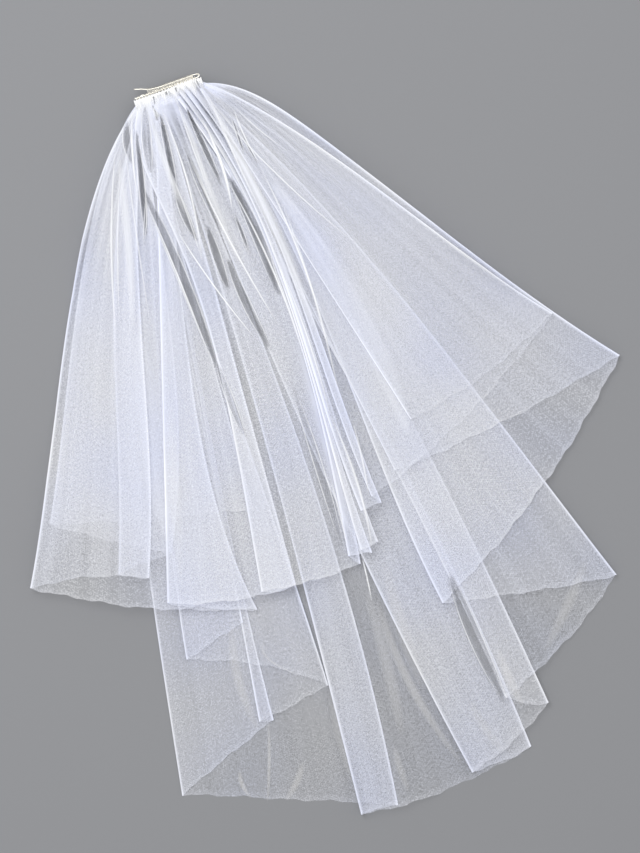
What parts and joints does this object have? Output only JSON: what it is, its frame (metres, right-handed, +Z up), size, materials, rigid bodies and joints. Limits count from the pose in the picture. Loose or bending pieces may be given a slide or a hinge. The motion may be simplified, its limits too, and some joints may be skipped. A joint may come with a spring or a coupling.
{
  "type": "bridal veil",
  "caption": "Two-tier white tulle bridal veil gathered on a wire comb, laid flat with its folds fanned out.",
  "frame": {"origin": "centre of the bounding box's bottom face, on the surface that the veil lies on", "axes": "+X to the right seen from above with the comb at the back, +Y from the hem towards the comb, +Z up out of the surface"},
  "size_m": [0.6482, 0.8144, 0.0361],
  "materials": {
    "tulle": "soft nylon net, matt, see-through where it is one layer",
    "gathers": "the same net pulled into tight gathers and sewn over",
    "comb_wire": "pale champagne plated wire"
  },
  "bodies": {
    "root": {"lower_tier": "tulle", "upper_tier": "tulle", "gathered_header": "gathers", "comb_spine": "comb_wire", "comb_coil": "comb_wire", "comb_teeth": "comb_wire"}
  },
  "joints": []
}
